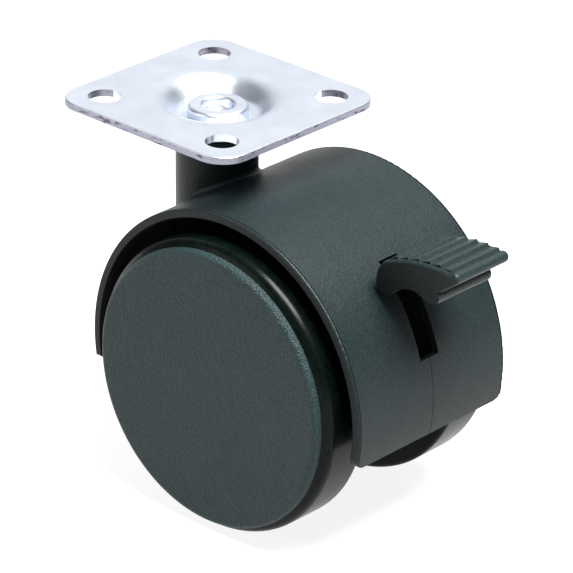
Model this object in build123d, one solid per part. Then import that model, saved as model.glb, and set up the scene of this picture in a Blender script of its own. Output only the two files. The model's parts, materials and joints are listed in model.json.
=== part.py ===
from build123d import *
import os
from math import cos, hypot, radians, sin

# Twin-wheel chair caster with a square top plate and a foot brake, in millimetres.
# The swivel axis is Z and the top of the mounting plate is z = 0.
# +X points from the swivel axis to the wheel axle and the brake pedal (the trail).
# The wheels lie at +Y (right) and -Y (left) of a central web.

# ---- driving dimensions ----
PLATE_SIDE = 38.0
PLATE_T = 1.2
PLATE_CORNER_R = 5.0
BOLT_SPACING = 26.0
BOLT_HOLE_R = 2.75
DISH_RIM_R = 9.75
DISH_FLOOR_R = 6.8
DISH_DEPTH = 3.2
DISH_RIM_BEND = 4.5
DISH_FLOOR_BEND = 2.0

PIN_R = 4.0
PIN_RECESS_R = 2.6
PIN_RECESS_DEPTH = 2.0
PIN_BOTTOM_Z = -29.2
PIN_HEAD_R = 5.1
PIN_HEAD_H = 2.0
PIN_HEAD_FILLET = 0.8
PIN_MOUTH_FILLET = 0.7

TRAIL = 18.5
AXLE_Z = -39.0
AXLE_R = 3.0
AXLE_HALF = 19.6

WHEEL_R = 25.0
WHEEL_INNER_Y = 11.3
WHEEL_OUTER_Y = 20.6
CAP_R = 23.7
CAP_FACE_Y = 21.9

HOOD_R = 29.1
HOOD_WALL = 1.4
HOOD_HALF = 17.85
HOOD_BOTTOM_Z = -44.3
HOOD_FRONT_CORNER_R = 1.9
HOOD_REAR_CORNER_R = 0.8
HOOD_RIM_FILLET = 0.35
NECK_FILLET = 0.8
NECK_TOP_R = 6.9
NECK_ROOT_R = 6.6

SLOT_HALF = 2.2
SLOT_TOP_DEG = 50.5
SLOT_BOTTOM_DEG = 16.2
LEVER_DEG = 44.5
LEVER_TRAVEL_DEG = 23.5
PEDAL_HALF = 6.35
PEDAL_RIBS = 6
PEDAL_RIB_H = 0.45
PEDAL_CREST_AT = 0.84
PEDAL_RIB_HALF = 5.8
PEDAL_SIDE_FILLET = 0.5
PEDAL_UNDER_Z = 22.6
BRAKE_STROKE = 2.0

# ---- moulding marks on the hood ----
LIP_MARK_DEPTH = 0.12
PARTING_DEPTH = 0.04
MARK_WIDTH = 0.16
LIP_MARK_Y = 17.35

# ---- clearances ----
RUN_CLEAR = 0.06
GAP = 0.3

# ---- secondary dimensions ----
WASHER_T = 0.8
NECK_TOP_Z = -(DISH_DEPTH + PLATE_T + WASHER_T + GAP)
BUSH_R = 5.0
BUSH_BOTTOM_Z = -26.0
SOCKET_R = 7.4
SOCKET_BOTTOM_Z = -31.0
RING_POCKET_R = 6.2
SEAT_WASHER_T = 0.6
RING_T = 0.8
RING_GROOVE_R = 3.5
RING_R = 5.7
RING_MOUTH = 2.4
RING_TOP_Z = BUSH_BOTTOM_Z - SEAT_WASHER_T - 0.2

CHEEK_INNER_Y = 2.6
CHEEK_OUTER_Y = 5.0
AXLE_BOSS_R = 6.0
AXLE_BOSS_Y = 7.7
HUB_WASHER_T = 0.5
HUB_R = 6.2
HUB_INNER_Y = AXLE_BOSS_Y + HUB_WASHER_T + 0.15
HUB_OUTER_Y = 18.2
SLEEVE_R = 4.0
CLIP_Y = HUB_OUTER_Y + GAP
CLIP_T = 0.6
CLIP_R = 4.9
CLIP_GROOVE_R = 2.4
CLIP_MOUTH = 3.4
CLIP_RELIEF_AT_R = 3.9
CLIP_RELIEF_R = 0.6

TREAD_EDGE_Y = 18.7
TREAD_INNER_FILLET = 0.8
CAP_FILLET = 1.0
RIM_INNER_R = 22.0
TOOTH_TIP_R = 20.4
TOOTH_RING_Y = 13.7
NOTCHES = 24
NOTCH_W = 3.6
WEB_INNER_Y = 14.0
WEB_OUTER_Y = 15.4
WHEEL_RIBS = 8
RIB_T = 1.4

LEVER_HALF = 1.9
LEVER_HUB_R = 8.0
ARM_T = 3.4
BAR_R = 1.5
BAR_HALF = 13.4
BAR_REST_R = 17.9
BAR_SLOT_CLEAR = 0.25
CAM_START_DEG = 84.0
CAM_END_DEG = 121.0


# ---- helpers ----
def along_y(radius, y_low, y_high):
    """A cylinder on the wheel axle's line, from y_low to y_high."""
    middle = (y_low + y_high) / 2
    return Pos(TRAIL, middle, AXLE_Z) * Rot(90, 0, 0) * Cylinder(radius, y_high - y_low)


def along_z(radius, z_low, z_high):
    """A cylinder on the swivel axis, from z_low to z_high."""
    return Pos(0, 0, (z_low + z_high) / 2) * Cylinder(radius, z_high - z_low)


def slab(outline, y_low, y_high):
    """An XZ outline, drawn about the axle's centre, made solid from y_low to y_high."""
    plane = Plane((TRAIL, y_high, AXLE_Z), x_dir=(1, 0, 0), z_dir=(0, -1, 0))
    return extrude(plane * outline, amount=y_high - y_low)


def polar(radius, degrees):
    """The point at this radius and angle about the axle, measured from +X towards +Z."""
    return (radius * cos(radians(degrees)), radius * sin(radians(degrees)))


def spun_about_axle(profile):
    """A (radius, y) profile turned about the wheel axle's line."""
    return Pos(TRAIL, 0, AXLE_Z) * revolve(profile, axis=Axis.Y)


def left_of(right_piece):
    """The same piece on the -Y side."""
    return mirror(right_piece, about=Plane.XZ)


def one_solid(piece):
    """The single solid that a boolean result holds."""
    return piece.solids()[0] if len(piece.solids()) == 1 else piece


# ---- plate and swivel pin ----
def mounting_plate():
    """Square pressed plate with four holes and a conical dish for the pin's head."""
    blank = extrude(RectangleRounded(PLATE_SIDE, PLATE_SIDE, PLATE_CORNER_R), amount=-PLATE_T)
    top_bend = DISH_RIM_R + DISH_RIM_BEND / 2
    blank -= along_z(top_bend, -PLATE_T - 1, 1)
    section = Polyline(
        (PIN_R, -DISH_DEPTH),
        (DISH_FLOOR_R, -DISH_DEPTH),
        (DISH_RIM_R, 0),
        (top_bend, 0),
        (top_bend, -PLATE_T),
        (DISH_RIM_R - 0.05, -PLATE_T),
        (DISH_FLOOR_R + 0.35 * PLATE_T, -DISH_DEPTH - PLATE_T),
        (PIN_R, -DISH_DEPTH - PLATE_T),
        close=True,
    )
    profile = Plane.XZ * make_face(section)
    dish = revolve(profile, axis=Axis.Z)
    for bend_r, radius in ((DISH_RIM_R, DISH_RIM_BEND), (DISH_FLOOR_R, DISH_FLOOR_BEND)):
        circles = dish.edges().filter_by(GeomType.CIRCLE)
        dish = fillet(circles.filter_by(lambda e, r=bend_r: abs(e.radius - r) < 0.01), radius=radius)
    plate = blank + dish
    for x_side in (-1, 1):
        for y_side in (-1, 1):
            spot = Pos(x_side * BOLT_SPACING / 2, y_side * BOLT_SPACING / 2, 0)
            plate -= spot * Cylinder(BOLT_HOLE_R, 4 * PLATE_T)
    top_edges = plate.edges().group_by(Axis.Z)[-1]
    outer = [e for e in top_edges if max(abs(e.center().X), abs(e.center().Y)) > PLATE_SIDE / 2 - 2]
    return fillet(outer, radius=0.25)


def king_pin():
    """Swivel rivet: a rolled-over head with a recess in it, and a groove for its snap ring."""
    head_top = -DISH_DEPTH + PIN_HEAD_H
    shank = along_z(PIN_R, PIN_BOTTOM_Z, -DISH_DEPTH)
    head = along_z(PIN_HEAD_R, -DISH_DEPTH, head_top)
    head = fillet(head.edges().group_by(Axis.Z)[-1], radius=PIN_HEAD_FILLET)
    pin = shank + head
    recess = along_z(PIN_RECESS_R, head_top - PIN_RECESS_DEPTH, head_top + 1)
    pin -= fillet(recess.edges().group_by(Axis.Z)[0], radius=PIN_HEAD_FILLET)
    mouth = pin.edges().group_by(Axis.Z)[-1].sort_by(SortBy.RADIUS)[0]
    pin = fillet(mouth, radius=PIN_MOUTH_FILLET)
    groove = along_z(PIN_R + 1, RING_TOP_Z - RING_T, RING_TOP_Z)
    groove -= along_z(RING_GROOVE_R, RING_TOP_Z - RING_T - 1, RING_TOP_Z + 1)
    return pin - groove


def thrust_washer():
    """Flat washer between the plate's dish and the housing's neck."""
    top = -DISH_DEPTH - PLATE_T
    return along_z(NECK_TOP_R - 0.2, top - WASHER_T, top) - along_z(PIN_R, top - 2, top + 1)


def retaining_ring():
    """Open snap ring in the pin's lower groove, which carries the housing."""
    ring = along_z(RING_R, RING_TOP_Z - RING_T, RING_TOP_Z)
    ring -= along_z(RING_GROOVE_R, RING_TOP_Z - 2, RING_TOP_Z + 1)
    return ring - Pos(RING_R, 0, RING_TOP_Z) * Box(2 * RING_R, RING_MOUTH, 4)


# ---- housing ----
def hood_shell():
    """Cylindrical cover over both wheels, open below and at the two sides."""
    shell = along_y(HOOD_R, -HOOD_HALF, HOOD_HALF)
    shell -= along_y(HOOD_R - HOOD_WALL, -HOOD_HALF - 1, HOOD_HALF + 1)
    rims = shell.edges().filter_by(GeomType.CIRCLE).filter_by(lambda e: e.radius > HOOD_R - 0.1)
    shell = fillet(rims, radius=HOOD_RIM_FILLET)
    below = Pos(TRAIL, 0, HOOD_BOTTOM_Z - HOOD_R) * Box(3 * HOOD_R, 3 * HOOD_R, 2 * HOOD_R)
    return round_corners(shell - below)


def round_corners(shell):
    """Round the four lower corners of the hood with a cutter at each."""
    for x_side, radius in ((-1, HOOD_REAR_CORNER_R), (1, HOOD_FRONT_CORNER_R)):
        for y_side in (-1, 1):
            corner = Pos(
                TRAIL + x_side * HOOD_R,
                y_side * (HOOD_HALF - radius / 2),
                HOOD_BOTTOM_Z + radius / 2,
            ) * Box(8, radius, radius)
            roller = Pos(
                TRAIL + x_side * HOOD_R,
                y_side * (HOOD_HALF - radius),
                HOOD_BOTTOM_Z + radius,
            ) * Rot(0, 90, 0) * Cylinder(radius, 12)
            shell -= corner - roller
    return shell


def cheek(y_low, y_high):
    """One of the two upright walls between the wheels."""
    wall = along_y(HOOD_R - HOOD_WALL + 0.1, y_low, y_high)
    wall -= Pos(TRAIL, 0, HOOD_BOTTOM_Z - HOOD_R) * Box(3 * HOOD_R, 3 * HOOD_R, 2 * HOOD_R)
    return wall


def lever_slot():
    """Cutter for the slot in the hood that the brake lever's arm moves in."""
    middle = (SLOT_TOP_DEG + SLOT_BOTTOM_DEG) / 2
    outline = Polyline(
        polar(HOOD_R - 3, SLOT_BOTTOM_DEG),
        polar(HOOD_R + 2, SLOT_BOTTOM_DEG),
        polar(HOOD_R + 5, middle),
        polar(HOOD_R + 2, SLOT_TOP_DEG),
        polar(HOOD_R - 3, SLOT_TOP_DEG),
        close=True,
    )
    return slab(make_face(outline), -SLOT_HALF, SLOT_HALF)


def moulding_marks():
    """Cutters for a fine groove beside each lip and the parting line below the lever's slot."""
    marks = []
    for middle, depth in ((-LIP_MARK_Y, LIP_MARK_DEPTH), (0, PARTING_DEPTH), (LIP_MARK_Y, LIP_MARK_DEPTH)):
        low, high = middle - MARK_WIDTH / 2, middle + MARK_WIDTH / 2
        marks.append(along_y(HOOD_R + 1, low, high) - along_y(HOOD_R - depth, low - 1, high + 1))
    below_slot = Pos(TRAIL + HOOD_R, 0, AXLE_Z) * Box(HOOD_R, 4, HOOD_R)
    return [marks[0], marks[1] & below_slot, marks[2]]


def bar_slot():
    """Cutter for the radial guide slot that the brake bar moves in."""
    half_width = BAR_R + BAR_SLOT_CLEAR
    length = BRAKE_STROKE + 2 * half_width
    height = AXLE_Z + BAR_REST_R + BRAKE_STROKE / 2
    window = Pos(TRAIL, 0, height) * Box(2 * half_width, 3 * CHEEK_OUTER_Y, length - 2 * half_width)
    for end in (-1, 1):
        centre_z = height + end * BRAKE_STROKE / 2
        window += Pos(TRAIL, 0, centre_z) * Rot(90, 0, 0) * Cylinder(half_width, 3 * CHEEK_OUTER_Y)
    return window


def is_neck_root(edge):
    """True for the edges where the neck's outside meets the hood's outside."""
    spots = [edge @ part for part in (0.1, 0.5, 0.9)]
    on_hood = [abs(hypot(p.X - TRAIL, p.Z - AXLE_Z) - HOOD_R) < 0.01 for p in spots]
    on_neck = [NECK_ROOT_R - 0.1 < hypot(p.X, p.Y) < NECK_TOP_R + 0.1 for p in spots]
    return all(on_hood) and all(on_neck)


def hood_housing():
    """One moulding: hood, neck, pin socket, two cheeks and the axle's bosses."""
    body = hood_shell()
    neck_h = NECK_TOP_Z - BUSH_BOTTOM_Z
    body += Pos(0, 0, NECK_TOP_Z - neck_h / 2) * Cone(NECK_ROOT_R, NECK_TOP_R, neck_h)
    body = fillet(body.edges().filter_by(is_neck_root), radius=NECK_FILLET)
    body += along_z(SOCKET_R, SOCKET_BOTTOM_Z, BUSH_BOTTOM_Z - 0.6)
    for side in (-1, 1):
        low, high = sorted((side * CHEEK_INNER_Y, side * CHEEK_OUTER_Y))
        body += cheek(low, high)
        low, high = sorted((side * CHEEK_INNER_Y, side * AXLE_BOSS_Y))
        body += along_y(AXLE_BOSS_R, low, high)
    body -= along_z(BUSH_R, BUSH_BOTTOM_Z, 0)
    body -= along_z(RING_POCKET_R, SOCKET_BOTTOM_Z - 1, BUSH_BOTTOM_Z)
    body -= along_y(AXLE_R, -AXLE_HALF, AXLE_HALF)
    body -= lever_slot()
    body -= bar_slot()
    for mark in moulding_marks():
        body -= mark
    return body


def swivel_bush():
    """Plain bearing sleeve pressed into the neck, which turns on the pin."""
    return along_z(BUSH_R, BUSH_BOTTOM_Z, NECK_TOP_Z) - along_z(PIN_R + RUN_CLEAR, -40, 0)


def seat_washer():
    """Washer under the bush, held in the housing's pocket above the snap ring."""
    low = BUSH_BOTTOM_Z - SEAT_WASHER_T
    return along_z(RING_POCKET_R, low, BUSH_BOTTOM_Z) - along_z(PIN_R + RUN_CLEAR, -40, 0)


# ---- axle ----
def axle():
    """Steel axle pressed into the housing, with a clip groove near each end."""
    rod = along_y(AXLE_R, -AXLE_HALF, AXLE_HALF)
    rod = chamfer(rod.edges().filter_by(GeomType.CIRCLE), length=0.4)
    for side in (-1, 1):
        low, high = sorted((side * CLIP_Y, side * (CLIP_Y + CLIP_T)))
        groove = along_y(AXLE_R + 1, low, high)
        rod -= groove - along_y(CLIP_GROOVE_R, low - 1, high + 1)
    return rod


def hub_washer():
    """Thin washer between the housing's boss and the right wheel's hub."""
    low, high = AXLE_BOSS_Y, AXLE_BOSS_Y + HUB_WASHER_T
    return along_y(AXLE_BOSS_R, low, high) - along_y(AXLE_R, low - 1, high + 1)


def axle_clip():
    """E-shaped clip that keeps the right wheel on the axle."""
    low, high = CLIP_Y, CLIP_Y + CLIP_T
    clip = along_y(CLIP_R, low, high) - along_y(CLIP_GROOVE_R, low - 1, high + 1)
    clip -= Pos(TRAIL, high, AXLE_Z - CLIP_R) * Box(CLIP_MOUTH, 4, 2 * CLIP_R)
    for degrees in (30, 150):
        x, z = polar(CLIP_RELIEF_AT_R, degrees)
        relief = Pos(TRAIL + x, high, AXLE_Z + z) * Rot(90, 0, 0) * Cylinder(CLIP_RELIEF_R, 4)
        clip -= relief
    return clip


# ---- wheels ----
def wheel():
    """Right wheel: smooth tread, hub, web with hidden ribs and an inner ring of notches."""
    shoulder = (CAP_R + 0.35, WHEEL_OUTER_Y - 0.3)
    crown = TangentArc((WHEEL_R, TREAD_EDGE_Y), shoulder, tangent=(0, 1))
    lip = Line(shoulder, (CAP_R - 0.1, WHEEL_OUTER_Y))
    inside = Polyline(
        (CAP_R - 0.1, WHEEL_OUTER_Y),
        (RIM_INNER_R + 0.3, WHEEL_OUTER_Y),
        (RIM_INNER_R + 0.3, WEB_OUTER_Y),
        (HUB_R, WEB_OUTER_Y),
        (HUB_R, HUB_OUTER_Y),
        (SLEEVE_R, HUB_OUTER_Y),
        (SLEEVE_R, HUB_INNER_Y),
        (HUB_R, HUB_INNER_Y),
        (HUB_R, WEB_INNER_Y),
        (RIM_INNER_R, WEB_INNER_Y),
        (RIM_INNER_R, TOOTH_RING_Y),
        (TOOTH_TIP_R, TOOTH_RING_Y),
        (TOOTH_TIP_R, WHEEL_INNER_Y),
        (WHEEL_R - TREAD_INNER_FILLET, WHEEL_INNER_Y),
    )
    inner_edge = TangentArc(
        (WHEEL_R - TREAD_INNER_FILLET, WHEEL_INNER_Y),
        (WHEEL_R, WHEEL_INNER_Y + TREAD_INNER_FILLET),
        tangent=(1, 0),
    )
    tread = Line((WHEEL_R, WHEEL_INNER_Y + TREAD_INNER_FILLET), (WHEEL_R, TREAD_EDGE_Y))
    body = spun_about_axle(make_face([crown, lip, inside, inner_edge, tread]))
    for number in range(NOTCHES):
        turn = Pos(TRAIL, 0, AXLE_Z) * Rot(0, number * 360 / NOTCHES, 0)
        height = RIM_INNER_R - TOOTH_TIP_R + 1
        depth = TOOTH_RING_Y - WHEEL_INNER_Y + 1
        notch = Box(NOTCH_W, depth, height)
        body -= turn * Pos(0, TOOTH_RING_Y - depth / 2, RIM_INNER_R - height / 2) * notch
    rib_length = RIM_INNER_R - HUB_R + 1
    rib_depth = HUB_OUTER_Y - GAP - WEB_OUTER_Y + 0.2
    for number in range(WHEEL_RIBS):
        turn = Pos(TRAIL, 0, AXLE_Z) * Rot(0, (number + 0.5) * 360 / WHEEL_RIBS, 0)
        rib = Box(RIB_T, rib_depth, rib_length)
        middle_y = WEB_OUTER_Y - 0.2 + rib_depth / 2
        body += turn * Pos(0, middle_y, HUB_R - 0.4 + rib_length / 2) * rib
    return body


def wheel_cap():
    """Right wheel's face disc, with the skirt that snaps into the rim."""
    disc = along_y(CAP_R, WHEEL_OUTER_Y, CAP_FACE_Y)
    front = disc.edges().filter_by(GeomType.CIRCLE).sort_by(Axis.Y)[-1]
    disc = fillet(front, radius=CAP_FILLET)
    skirt = along_y(RIM_INNER_R + 0.3, HUB_OUTER_Y, WHEEL_OUTER_Y)
    skirt -= along_y(RIM_INNER_R - 0.9, HUB_OUTER_Y - 1, WHEEL_OUTER_Y)
    return disc + skirt


def hub_sleeve():
    """Bearing sleeve pressed into the right wheel's hub."""
    sleeve = along_y(SLEEVE_R, HUB_INNER_Y, HUB_OUTER_Y)
    return sleeve - along_y(AXLE_R + RUN_CLEAR, 0, AXLE_HALF)


# ---- brake ----
def pedal_top(part):
    """A point on the pedal's bowed top, from its back (0) to the start of its nose (1)."""
    first, last = (23.4, 25.6), (36.5, 27.6)
    bow = 0.85 * 4 * part * (1 - part)
    return (first[0] + part * (last[0] - first[0]), first[1] + part * (last[1] - first[1]) + bow)


def pedal_outline():
    """Side view of the pedal without its ribs, with its origin at the axle's centre."""
    nose_end, skirt_top, skirt_foot = (37.7, 26.1), (34.3, 23.5), (34.1, 21.7)
    under_front, under_back, root = (29.6, 22.4), (24.5, 20.0), (21.4, 21.8)
    return make_face([
        ThreePointArc(pedal_top(0), pedal_top(0.5), pedal_top(1)),
        ThreePointArc(pedal_top(1), (37.95, 27.25), nose_end),
        Line(nose_end, skirt_top),
        ThreePointArc(skirt_top, (34.55, 22.6), skirt_foot),
        ThreePointArc(skirt_foot, (33.1, 21.3), (31.9, 21.45)),
        Line((31.9, 21.45), under_front),
        ThreePointArc(under_front, (26.7, 21.75), under_back),
        ThreePointArc(under_back, (22.4, 20.2), root),
        ThreePointArc(root, (21.9, 23.9), pedal_top(0)),
    ])


def pedal():
    """The foot pedal: a bowed pad with rounded upper edges, ribbed across its top."""
    body = slab(pedal_outline(), -PEDAL_HALF, PEDAL_HALF)
    sides = body.edges().filter_by(lambda e: abs(abs((e @ 0.5).Y) - PEDAL_HALF) < 0.01)
    upper = sides.filter_by(lambda e: (e @ 0.5).Z > AXLE_Z + PEDAL_UNDER_Z)
    body = fillet(upper, radius=PEDAL_SIDE_FILLET)
    for number in range(PEDAL_RIBS):
        start, crest, end = (pedal_top((number + step) / PEDAL_RIBS) for step in (0, PEDAL_CREST_AT, 1))
        crest = (crest[0], crest[1] + PEDAL_RIB_H)
        rib = Polyline(start, crest, end, (end[0], end[1] - 1), (start[0], start[1] - 1), close=True)
        body += slab(make_face(rib), -PEDAL_RIB_HALF, PEDAL_RIB_HALF)
    return body


def cam_outline():
    """Sector on the lever's hub whose rising edge lifts the brake bar as the pedal goes down."""
    low_r = BAR_REST_R - BAR_R - GAP
    rise_per_deg = BRAKE_STROKE / LEVER_TRAVEL_DEG
    steps = 8
    rim = []
    for number in range(steps + 1):
        degrees = 90 + number * (CAM_END_DEG - 90) / steps
        lift = rise_per_deg * min(degrees - 90, LEVER_TRAVEL_DEG)
        rim.append(polar(low_r + lift, degrees))
    rise = Spline(rim[: steps - 1])
    tail = Polyline(rim[steps - 2:] + [polar(LEVER_HUB_R - 1, CAM_END_DEG + 4)])
    foot = Polyline(
        polar(LEVER_HUB_R - 1, CAM_END_DEG + 4),
        polar(LEVER_HUB_R - 1, CAM_START_DEG - 4),
        polar(low_r, CAM_START_DEG),
    )
    start = ThreePointArc(polar(low_r, CAM_START_DEG), polar(low_r, 87), polar(low_r, 90))
    return make_face([rise, tail, foot, start])


def brake_lever():
    """Pedal, arm, hub and cam in one moulding, turning on the axle between the cheeks."""
    hub = along_y(LEVER_HUB_R, -LEVER_HALF, LEVER_HALF)
    arm_start, arm_end = 4.0, HOOD_R + 3.0
    arm_middle = polar((arm_start + arm_end) / 2, LEVER_DEG)
    arm = Pos(TRAIL + arm_middle[0], 0, AXLE_Z + arm_middle[1]) * Rot(0, -LEVER_DEG, 0)
    lever = hub + arm * Box(arm_end - arm_start, 2 * LEVER_HALF, ARM_T)
    lever += slab(cam_outline(), -LEVER_HALF, LEVER_HALF)
    lever += pedal()
    return lever - along_y(AXLE_R + RUN_CLEAR, -LEVER_HALF - 1, LEVER_HALF + 1)


def brake_bar():
    """Cross bar that the cam lifts into the notches of both wheels."""
    height = AXLE_Z + BAR_REST_R
    bar = Pos(TRAIL, 0, height) * Rot(90, 0, 0) * Cylinder(BAR_R, 2 * BAR_HALF)
    return chamfer(bar.edges().filter_by(GeomType.CIRCLE), length=0.3)


def brake_spring():
    """Coil spring between the hood's roof and the brake bar, which lowers the bar again."""
    wire_r = 0.25
    coil_r = 1.5
    low = AXLE_Z + BAR_REST_R + BAR_R + wire_r + 0.1
    high = AXLE_Z + HOOD_R - HOOD_WALL - wire_r - 0.15
    coil = Pos(TRAIL, 0, low) * Helix(pitch=(high - low) / 5, height=high - low, radius=coil_r)
    section = Plane(coil @ 0, z_dir=coil % 0) * Circle(wire_r)
    return sweep(section, path=coil)


# ---- all pieces by node name ----
def build_nodes():
    nodes = {
        "mounting_plate": mounting_plate(),
        "king_pin": king_pin(),
        "thrust_washer": thrust_washer(),
        "retaining_ring": retaining_ring(),
        "hood_housing": hood_housing(),
        "swivel_bush": swivel_bush(),
        "seat_washer": seat_washer(),
        "axle": axle(),
        "brake_lever": brake_lever(),
        "brake_bar": brake_bar(),
        "brake_spring": brake_spring(),
    }
    sided = {
        "wheel": wheel(),
        "wheel_cap": wheel_cap(),
        "hub_sleeve": hub_sleeve(),
        "hub_washer": hub_washer(),
        "axle_clip": axle_clip(),
    }
    for name, piece in sided.items():
        nodes[name + "_right"] = piece
        nodes[name + "_left"] = left_of(piece)
    return nodes


os.makedirs("parts", exist_ok=True)
for node, piece in build_nodes().items():
    export_step(one_solid(piece), f"parts/{node}.step")
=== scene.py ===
import json
from math import cos, radians, sin

import bpy
from mathutils import Matrix, Vector


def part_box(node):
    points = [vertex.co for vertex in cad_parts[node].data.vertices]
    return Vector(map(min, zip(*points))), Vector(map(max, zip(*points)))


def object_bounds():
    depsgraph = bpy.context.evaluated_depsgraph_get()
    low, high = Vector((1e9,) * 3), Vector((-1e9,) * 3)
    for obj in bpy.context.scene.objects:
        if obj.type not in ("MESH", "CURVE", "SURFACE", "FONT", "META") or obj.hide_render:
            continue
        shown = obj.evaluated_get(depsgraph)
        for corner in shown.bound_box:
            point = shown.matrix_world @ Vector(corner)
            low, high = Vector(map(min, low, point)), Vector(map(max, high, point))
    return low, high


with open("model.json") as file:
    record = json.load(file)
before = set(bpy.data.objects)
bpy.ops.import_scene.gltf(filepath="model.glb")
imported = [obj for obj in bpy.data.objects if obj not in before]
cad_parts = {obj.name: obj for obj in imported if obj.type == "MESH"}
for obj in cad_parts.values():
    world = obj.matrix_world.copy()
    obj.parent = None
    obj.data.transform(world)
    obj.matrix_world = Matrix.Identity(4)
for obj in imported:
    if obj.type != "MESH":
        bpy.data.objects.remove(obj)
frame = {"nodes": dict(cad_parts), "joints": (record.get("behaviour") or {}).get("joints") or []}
cad_box = [list(corner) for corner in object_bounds()]

MM = 0.001
NODES = frame["nodes"]
JOINTS = {joint["name"]: joint for joint in frame["joints"]}
AXLE = Vector(JOINTS["brake_press"]["pos_m"])
FLOOR_Z = cad_box[0][2]
RIM_FROM = 0.9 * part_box("mounting_plate")[1][0]
HOOD_OUTER_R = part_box("hood_housing")[1][0] - AXLE.x
HOOD_SKIN = 1.3 * MM
HOOD_INNER_R = HOOD_OUTER_R - HOOD_SKIN


# ---- node material helpers ----
class Shader:
    """A principled material with small helpers for procedural detail in object space."""

    def __init__(self, name, color, roughness, metallic=0.0, specular=0.5):
        self.material = bpy.data.materials.new(name)
        self.material.use_nodes = True
        self.tree = self.material.node_tree
        self.surface = self.tree.nodes["Principled BSDF"]
        self.surface.inputs["Base Color"].default_value = (*color, 1)
        self.surface.inputs["Roughness"].default_value = roughness
        self.surface.inputs["Metallic"].default_value = metallic
        self.surface.inputs["Specular IOR Level"].default_value = specular
        self.coordinates = self.tree.nodes.new("ShaderNodeTexCoord")
        self.place = self.coordinates.outputs["Object"]

    def node(self, kind, **inputs):
        made = self.tree.nodes.new(kind)
        for name, value in inputs.items():
            made.inputs[name.replace("_", " ")].default_value = value
        return made

    def link(self, output, node, name):
        self.tree.links.new(output, node.inputs[name])

    def noise(self, size, detail=2.0, roughness=0.5, stretch=None):
        """Noise whose features are about this many metres across."""
        texture = self.node("ShaderNodeTexNoise", Scale=1 / size, Detail=detail, Roughness=roughness)
        place = self.place
        if stretch:
            mapping = self.node("ShaderNodeMapping")
            mapping.inputs["Scale"].default_value = stretch
            self.link(place, mapping, "Vector")
            place = mapping.outputs["Vector"]
        self.link(place, texture, "Vector")
        return texture.outputs["Fac"]

    def ramp(self, value, stops):
        """A colour or grey ramp from (position, colour) stops."""
        ramp = self.tree.nodes.new("ShaderNodeValToRGB")
        while len(ramp.color_ramp.elements) < len(stops):
            ramp.color_ramp.elements.new(0.5)
        for element, (position, color) in zip(ramp.color_ramp.elements, stops):
            element.position = position
            element.color = (*color, 1) if isinstance(color, tuple) else (color, color, color, 1)
        self.link(value, ramp, "Fac")
        return ramp.outputs["Color"]

    def color_from(self, value, stops):
        """Take the base colour from a ramp; tint() mixes further colours into it."""
        self.color = self.ramp(value, stops)
        self.link(self.color, self.surface, "Base Color")

    def math(self, operation, *values):
        """A math node whose inputs are numbers or other nodes' outputs."""
        node = self.tree.nodes.new("ShaderNodeMath")
        node.operation = operation
        for socket, value in zip(node.inputs, values):
            if isinstance(value, (int, float)):
                socket.default_value = value
            else:
                self.tree.links.new(value, socket)
        return node.outputs["Value"]

    def tint(self, color, factor):
        """Mix the colour so far towards another one, by a factor from 0 to 1."""
        mix = self.tree.nodes.new("ShaderNodeMix")
        mix.data_type = "RGBA"
        sockets = {socket.identifier: socket for socket in mix.inputs}
        self.tree.links.new(factor, sockets["Factor_Float"])
        self.tree.links.new(self.color, sockets["A_Color"])
        sockets["B_Color"].default_value = (*color, 1)
        self.color = next(out for out in mix.outputs if out.identifier == "Result_Color")
        self.link(self.color, self.surface, "Base Color")

    def line_distance(self, first, second):
        """Distance of the surface from a line, by two (axis, value) pairs that the line holds."""
        split = self.node("ShaderNodeSeparateXYZ")
        self.link(self.place, split, "Vector")
        squares = []
        for axis, value in (first, second):
            offset = self.math("SUBTRACT", split.outputs[axis], value)
            squares.append(self.math("MULTIPLY", offset, offset))
        return self.math("SQRT", self.math("ADD", *squares))

    def axle_distance(self):
        return self.line_distance(("X", AXLE.x), ("Z", AXLE.z))

    def swivel_distance(self):
        return self.line_distance(("X", 0.0), ("Y", 0.0))

    def facing(self, axis):
        """How far the surface faces along an axis, either way: 1 is square on, 0 is side on."""
        split = self.node("ShaderNodeSeparateXYZ")
        self.link(self.coordinates.outputs["Normal"], split, "Vector")
        return self.math("ABSOLUTE", split.outputs[axis])

    def roughness_from(self, value, low, high):
        """Roughness from low to high as the value goes from 0 to 1, and on past both."""
        spread = self.node("ShaderNodeMapRange")
        spread.inputs["To Min"].default_value = low
        spread.inputs["To Max"].default_value = high
        spread.clamp = False
        self.link(value, spread, "Value")
        self.link(spread.outputs["Result"], self.surface, "Roughness")

    def bump(self, *layers):
        """Bump from (value, depth in metres) layers, stacked."""
        previous = None
        for value, depth in layers:
            bump = self.node("ShaderNodeBump", Strength=1.0, Distance=depth)
            self.link(value, bump, "Height")
            if previous:
                self.link(previous, bump, "Normal")
            previous = bump.outputs["Normal"]
        self.link(previous, self.surface, "Normal")


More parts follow.
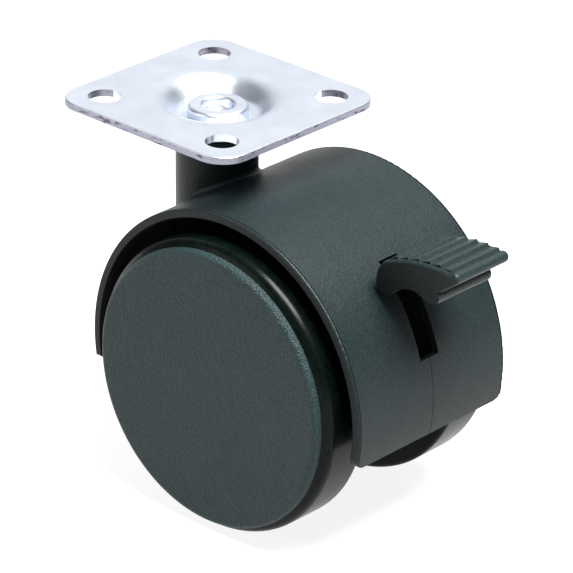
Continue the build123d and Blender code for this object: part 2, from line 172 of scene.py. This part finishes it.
# ---- materials ----
def zinc_material():
    """Bright zinc plating: bluish, satin and faintly mottled, with duller, speckled outer edges whose
    upright faces are painted darker as shade.
    """
    edge_shade, burred, specked = (0.28, 0.28, 0.34), (0.10, 0.09, 0.12), (0.33, 0.35, 0.42)
    shader = Shader("zinc_plating", (0.64, 0.69, 0.77), 0.3, metallic=1.0)
    cloud = shader.noise(6 * MM, detail=4.0)
    shader.color_from(cloud, [(0.3, (0.60, 0.65, 0.735)), (0.7, (0.66, 0.705, 0.78))])
    # Painted shade: the upright faces at the plate's outer edge are tinted darker in colour.
    upright = shader.math("LESS_THAN", shader.facing("Z"), 0.45)
    outside = shader.math("GREATER_THAN", shader.swivel_distance(), RIM_FROM)
    edge = shader.math("MULTIPLY", upright, outside)
    shader.tint(edge_shade, edge)
    burr = shader.math("GREATER_THAN", shader.noise(0.7 * MM, detail=3.0, stretch=(0.5, 0.5, 2)), 0.6)
    shader.tint(burred, shader.math("MULTIPLY", edge, burr))
    speck = shader.math("GREATER_THAN", shader.noise(0.8 * MM, detail=1.0), 0.79)
    shader.tint(specked, speck)
    shader.roughness_from(shader.math("ADD", cloud, edge), 0.26, 0.38)
    grain = shader.noise(0.3 * MM, detail=2.0)
    ripple = shader.noise(4 * MM)
    shader.bump((grain, 0.008 * MM), (ripple, 0.05 * MM))
    return shader.material


def steel_material():
    shader = Shader("bright_steel", (0.6, 0.61, 0.63), 0.3, metallic=1.0)
    drawn = shader.noise(0.4 * MM, detail=3.0, stretch=(1, 0.1, 1))
    shader.roughness_from(drawn, 0.22, 0.42)
    shader.color_from(drawn, [(0.3, (0.5, 0.51, 0.53)), (0.7, (0.66, 0.67, 0.69))])
    shader.bump((drawn, 0.01 * MM))
    return shader.material


def nylon_material(name, color, rough, specular, grain_size, grain_depth, shade_radius=None):
    """Moulded black nylon with a spark-eroded grain.

    With a radius given, its end faces are painted darker as shade, and closer to the axle than that
    radius it is painted matt black as shade.
    """
    lows, highs, end_shade = (tuple(share * part for part in color) for share in (0.6, 1.4, 0.5))
    shader = Shader(name, color, rough, specular=specular)
    grain = shader.noise(grain_size, detail=2.0, roughness=0.55)
    shader.color_from(grain, [(0.3, lows), (0.7, highs)])
    shader.bump((grain, grain_depth))
    wear = shader.noise(6 * MM, detail=4.0)
    # Painted shade: faces square to the axle are darkened in colour, and closer to the axle than the
    # given radius the colour is painted near black; the roughness is raised there as well.
    if shade_radius:
        sideways = shader.math("SUBTRACT", shader.facing("Y"), 0.9)
        shader.tint(end_shade, shader.math("MULTIPLY", sideways, 10.0))
        shade_inside = shader.math("LESS_THAN", shader.axle_distance(), shade_radius)
        shader.tint((0.001, 0.002, 0.0015), shade_inside)
        wear = shader.math("ADD", wear, shader.math("MULTIPLY", shade_inside, 4.0))
    shader.roughness_from(wear, rough - 0.08, rough + 0.08)
    return shader.material


def acetal_material():
    shader = Shader("natural_acetal", (0.8, 0.8, 0.76), 0.35)
    cloud = shader.noise(2 * MM)
    shader.color_from(cloud, [(0.3, (0.74, 0.74, 0.69)), (0.7, (0.83, 0.83, 0.79))])
    shader.bump((shader.noise(0.3 * MM), 0.01 * MM))
    return shader.material


def paint(names, material):
    """Give the named nodes this material alone."""
    for name in names:
        node = NODES[name]
        node.data.materials.clear()
        node.data.materials.append(material)


def paint_all():
    zinc = zinc_material()
    steel = steel_material()
    acetal = acetal_material()
    # Nylon: colour, roughness, specular level, grain size and depth, and the radius inside which it is
    # painted black as shade.
    hood = nylon_material(
        "hood_nylon", (0.0058, 0.0105, 0.011), 0.42, 0.17, 0.34 * MM, 0.06 * MM, HOOD_INNER_R
    )
    pedal = nylon_material(
        "pedal_nylon", (0.0065, 0.0125, 0.0125), 0.42, 0.2, 0.4 * MM, 0.09 * MM, HOOD_OUTER_R
    )
    tread = nylon_material("tread_nylon", (0.001, 0.0025, 0.0018), 0.26, 0.08, 1.2 * MM, 0.002 * MM)
    face = nylon_material("face_nylon", (0.0095, 0.0205, 0.0215), 0.40, 0.18, 0.32 * MM, 0.3 * MM)
    paint(["mounting_plate", "king_pin"], zinc)
    paint(["thrust_washer", "retaining_ring", "seat_washer", "axle", "brake_bar", "brake_spring"], steel)
    paint(["hood_housing"], hood)
    paint(["brake_lever"], pedal)
    paint(["swivel_bush"], acetal)
    for side in ("_left", "_right"):
        paint(["hub_washer" + side, "axle_clip" + side], steel)
        paint(["hub_sleeve" + side], acetal)
        paint(["wheel" + side], tread)
        paint(["wheel_cap" + side], face)


# ---- stage, light and camera ----
def floor():
    """Plain white ground that glows a little, so that it stays pale with a faint shadow."""
    reach = 3.0
    glow = 0.88
    mesh = bpy.data.meshes.new("floor")
    corners = [(x * reach, y * reach, FLOOR_Z) for x, y in ((-1, -1), (1, -1), (1, 1), (-1, 1))]
    mesh.from_pydata(corners, [], [(0, 1, 2, 3)])
    plane = bpy.data.objects.new("floor", mesh)
    bpy.context.scene.collection.objects.link(plane)
    shader = Shader("pale_floor", (0.2, 0.2, 0.2), 0.7, specular=0.1)
    shader.surface.inputs["Emission Color"].default_value = (1, 1, 1, 1)
    shader.surface.inputs["Emission Strength"].default_value = glow
    shader.color_from(shader.noise(0.2), [(0.3, (0.19, 0.19, 0.19)), (0.7, (0.21, 0.21, 0.21))])
    mesh.materials.append(shader.material)


def area_light(name, aim, offset, side, watts):
    """A square area light at an offset from the point that it shines on."""
    data = bpy.data.lights.new(name, "AREA")
    data.shape = "RECTANGLE"
    data.size = data.size_y = side
    data.energy = watts
    light = bpy.data.objects.new(name, data)
    light.location = aim + offset
    light.rotation_mode = "QUATERNION"
    light.rotation_quaternion = (-offset).to_track_quat("-Z", "Y")
    bpy.context.scene.collection.objects.link(light)


def studio(dim, backdrop, towards, tight):
    """Dim white surroundings that brighten to a backdrop around one direction."""
    world = bpy.data.worlds.new("studio")
    bpy.context.scene.world = world
    world.use_nodes = True
    tree = world.node_tree
    place = tree.nodes.new("ShaderNodeTexCoord").outputs["Generated"]
    facing = tree.nodes.new("ShaderNodeVectorMath")
    facing.operation = "DOT_PRODUCT"
    tree.links.new(place, facing.inputs[0])
    facing.inputs[1].default_value = Vector(towards).normalized()
    spread = tree.nodes.new("ShaderNodeMapRange")
    spread.interpolation_type = "SMOOTHSTEP"
    spread.inputs["From Min"].default_value = tight
    spread.inputs["To Min"].default_value = dim
    spread.inputs["To Max"].default_value = backdrop
    tree.links.new(facing.outputs["Value"], spread.inputs["Value"])
    background = tree.nodes["Background"]
    background.inputs["Color"].default_value = (1, 1, 1, 1)
    tree.links.new(spread.outputs["Result"], background.inputs["Strength"])


def lights():
    """A key light above and to the right, a weak fill from the front and a bright backdrop."""
    studio(0.2, 1.1, (-0.63, 0.69, 0.62), 0.58)
    aim = Vector((AXLE.x, 0, AXLE.z))
    area_light("key", aim, 0.7 * Vector((0.34, 0.02, 0.92)), 0.38, 24.0)
    area_light("fill", aim, 0.8 * Vector((-0.45, -0.85, 0.3)), 0.5, 2.2)


def camera():
    """Long lens from in front of the left wheel, turned towards the pedal and looking down."""
    azimuth, elevation, roll = radians(42.01), radians(26.06), radians(1.26)
    distance = 642.7 * MM
    back = Vector((sin(azimuth) * cos(elevation), -cos(azimuth) * cos(elevation), sin(elevation)))
    right = Vector((cos(azimuth), sin(azimuth), 0))
    up = back.cross(right)
    right, up = cos(roll) * right + sin(roll) * up, cos(roll) * up - sin(roll) * right
    data = bpy.data.cameras.new("camera")
    data.sensor_width = 36
    data.lens = 245.3
    data.shift_x, data.shift_y = 0.0478, 0.0592
    camera_object = bpy.data.objects.new("camera", data)
    aim = Vector((10 * MM, 0, -37 * MM))
    place = aim + back * distance
    axes = Matrix((right, up, back)).transposed()
    camera_object.matrix_world = Matrix.Translation(place) @ axes.to_4x4()
    bpy.context.scene.collection.objects.link(camera_object)
    bpy.context.scene.camera = camera_object


paint_all()
floor()
lights()
camera()
bpy.context.scene.view_settings.view_transform = "Standard"
